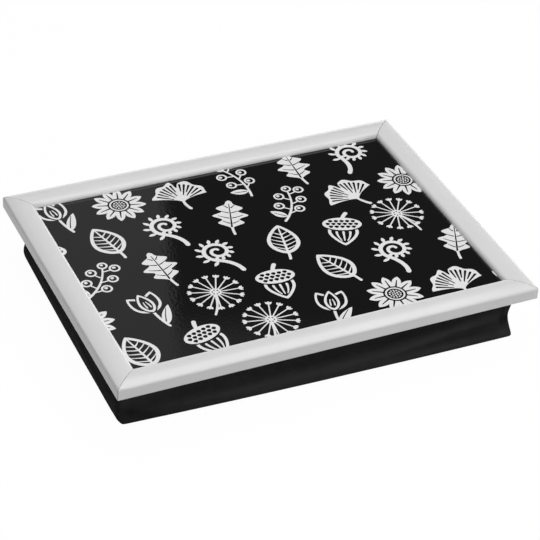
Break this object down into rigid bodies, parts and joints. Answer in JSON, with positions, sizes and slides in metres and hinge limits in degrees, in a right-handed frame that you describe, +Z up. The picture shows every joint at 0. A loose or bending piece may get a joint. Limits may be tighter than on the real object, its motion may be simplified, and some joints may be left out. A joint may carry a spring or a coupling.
{
  "type": "lap tray with cushion",
  "caption": "Rectangular lap tray: a mitred moulded frame round a glossy patterned board, on a cloth bag of beads that is stapled under the frame and moulds itself to the lap.",
  "frame": {"origin": "on the surface that the bag stands on, under the middle of the tray", "axes": "+X along the tray's long side, +Y from its front edge to its back edge, +Z up out of the printed board"},
  "size_m": [0.44, 0.33, 0.0648],
  "materials": {
    "frame_finish": "pale grey satin lacquer on a machined wood-fibre moulding",
    "printed_laminate": "high-gloss laminate with a black and white print under it",
    "hardboard": "raw hardboard",
    "backing_paper": "plain kraft paper",
    "fastener_steel": "galvanised wire and strip",
    "tack_card": "plain grey-brown card",
    "bag_cloth": "matt black plain-weave cotton",
    "foam_beads": "loose expanded foam beads"
  },
  "bodies": {
    "root": {"frame_rail_front": "frame_finish", "frame_rail_right": "frame_finish", "frame_rail_back": "frame_finish", "frame_rail_left": "frame_finish", "corner_v_nails": "fastener_steel", "printed_laminate": "printed_laminate", "board_core": "hardboard", "backing_paper": "backing_paper", "board_points": "fastener_steel", "tack_strip_front": "tack_card", "tack_strip_right": "tack_card", "tack_strip_back": "tack_card", "tack_strip_left": "tack_card", "bag_staples": "fastener_steel", "bag_side_front": "bag_cloth", "bag_side_right": "bag_cloth", "bag_side_back": "bag_cloth", "bag_side_left": "bag_cloth", "bag_top_lining": "bag_cloth", "bag_bottom_panel": "bag_cloth", "bead_filling": "foam_beads"}
  },
  "joints": []
}
